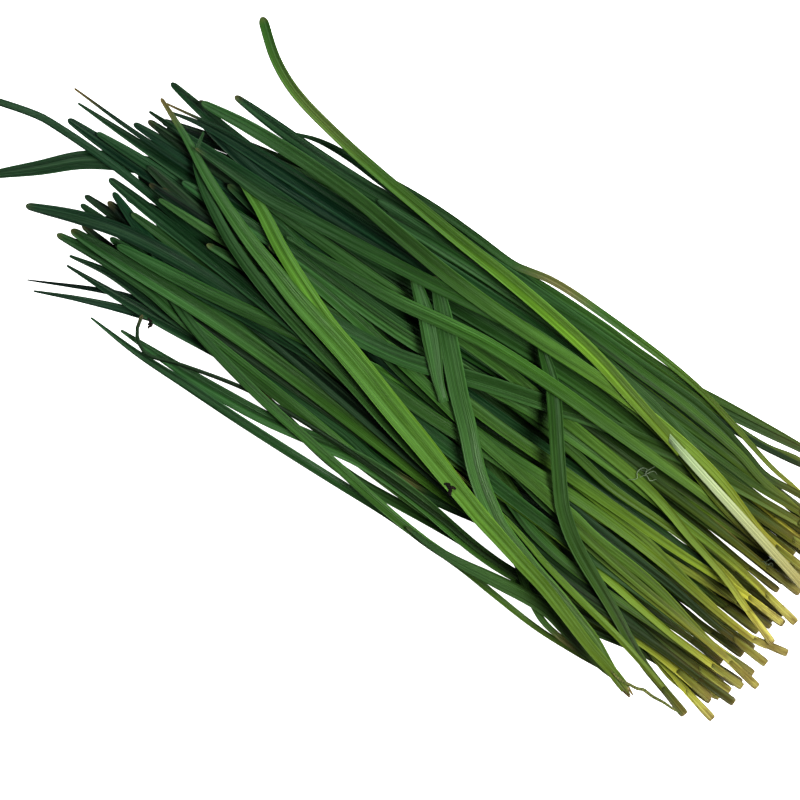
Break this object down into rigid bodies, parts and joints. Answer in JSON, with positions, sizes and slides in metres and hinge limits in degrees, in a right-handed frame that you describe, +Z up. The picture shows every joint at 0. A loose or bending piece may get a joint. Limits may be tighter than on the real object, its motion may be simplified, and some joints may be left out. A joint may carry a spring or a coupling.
{
  "type": "chive bunch",
  "caption": "Loose bunch of cut garlic chives lying flat: flat strap leaves in short sheathed shoots, feet at one end and tips at the other.",
  "frame": {"origin": "under the middle of the bunch, on the surface that it lies on", "axes": "+X from the cut feet to the leaf tips, +Z up"},
  "size_m": [0.3786, 0.1468, 0.0383],
  "materials": {
    "green_leaf": "smooth waxy leaf, satin, deep blue-green towards the tip and olive at the foot",
    "light_green_leaf": "smooth waxy leaf, satin, yellow-green",
    "white_sheath_and_light_leaf": "white sheath, moist satin, turning into a yellow-green leaf"
  },
  "bodies": {
    "root": {"crossing_shoot_1": "green_leaf", "crossing_shoot_2": "green_leaf", "crossing_shoot_3": "green_leaf", "crossing_shoot_4": "light_green_leaf", "far_edge_shoot_1": "green_leaf", "far_edge_shoot_2": "green_leaf", "far_edge_shoot_3": "green_leaf", "far_reaching_shoot": "green_leaf", "far_side_shoot_1": "green_leaf", "far_side_shoot_2": "green_leaf", "hero_shoot": "light_green_leaf", "long_light_shoot": "light_green_leaf", "lower_shoot_1": "green_leaf", "lower_shoot_10": "green_leaf", "lower_shoot_11": "green_leaf", "lower_shoot_12": "green_leaf", "lower_shoot_13": "green_leaf", "lower_shoot_14": "green_leaf", "lower_shoot_15": "green_leaf", "lower_shoot_16": "green_leaf", "lower_shoot_17": "green_leaf", "lower_shoot_18": "green_leaf", "lower_shoot_19": "green_leaf", "lower_shoot_2": "green_leaf", "lower_shoot_20": "green_leaf", "lower_shoot_21": "green_leaf", "lower_shoot_22": "green_leaf", "lower_shoot_23": "green_leaf", "lower_shoot_24": "green_leaf", "lower_shoot_3": "green_leaf", "lower_shoot_4": "green_leaf", "lower_shoot_5": "green_leaf", "lower_shoot_6": "green_leaf", "lower_shoot_7": "green_leaf", "lower_shoot_8": "green_leaf", "lower_shoot_9": "green_leaf", "middle_shoot_1": "green_leaf", "middle_shoot_10": "green_leaf", "middle_shoot_11": "green_leaf", "middle_shoot_2": "green_leaf", "middle_shoot_3": "green_leaf", "middle_shoot_4": "green_leaf", "middle_shoot_5": "green_leaf", "middle_shoot_6": "green_leaf", "middle_shoot_7": "green_leaf", "middle_shoot_8": "green_leaf", "middle_shoot_9": "green_leaf", "near_edge_shoot_1": "green_leaf", "near_edge_shoot_2": "green_leaf", "near_edge_shoot_3": "green_leaf", "near_side_shoot_1": "green_leaf", "near_side_shoot_2": "green_leaf", "near_side_shoot_3": "light_green_leaf", "short_crossing_leaf": "green_leaf", "white_sheathed_shoot": "white_sheath_and_light_leaf", "wide_leaf_shoot": "green_leaf"}
  },
  "joints": []
}
